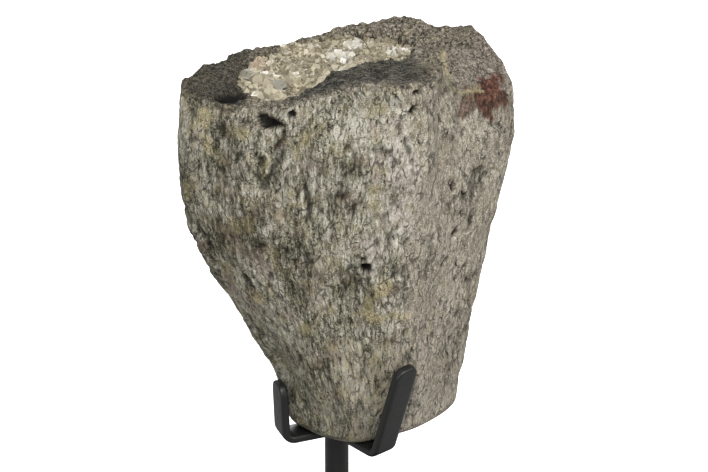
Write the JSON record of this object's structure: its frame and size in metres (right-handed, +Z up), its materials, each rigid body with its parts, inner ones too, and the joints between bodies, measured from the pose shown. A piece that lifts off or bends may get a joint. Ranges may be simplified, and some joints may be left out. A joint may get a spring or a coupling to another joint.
{
  "type": "fossil theropod metatarsal section",
  "caption": "Weathered section of a fossil long bone with a crystal-filled broken top, resting in a three-armed steel cradle on a post and base plate.",
  "frame": {"origin": "centre of the base plate's underside, straight below the post", "axes": "+Z up along the post; +X to the right and +Y away from a viewer who faces the broad front of the bone"},
  "size_m": [0.1067, 0.1, 0.194],
  "materials": {
    "fossil_bone": "weathered olive-grey mineralised bone with vertical grain",
    "calcite": "cream to white calcite crystals in a granular bed",
    "black_steel": "satin black paint"
  },
  "bodies": {
    "root": {"metatarsal_bone": "fossil_bone", "calcite_crust": "calcite", "cradle_arm_left": "black_steel", "cradle_arm_right": "black_steel", "cradle_arm_back": "black_steel", "post": "black_steel", "base_plate": "black_steel"}
  },
  "joints": []
}
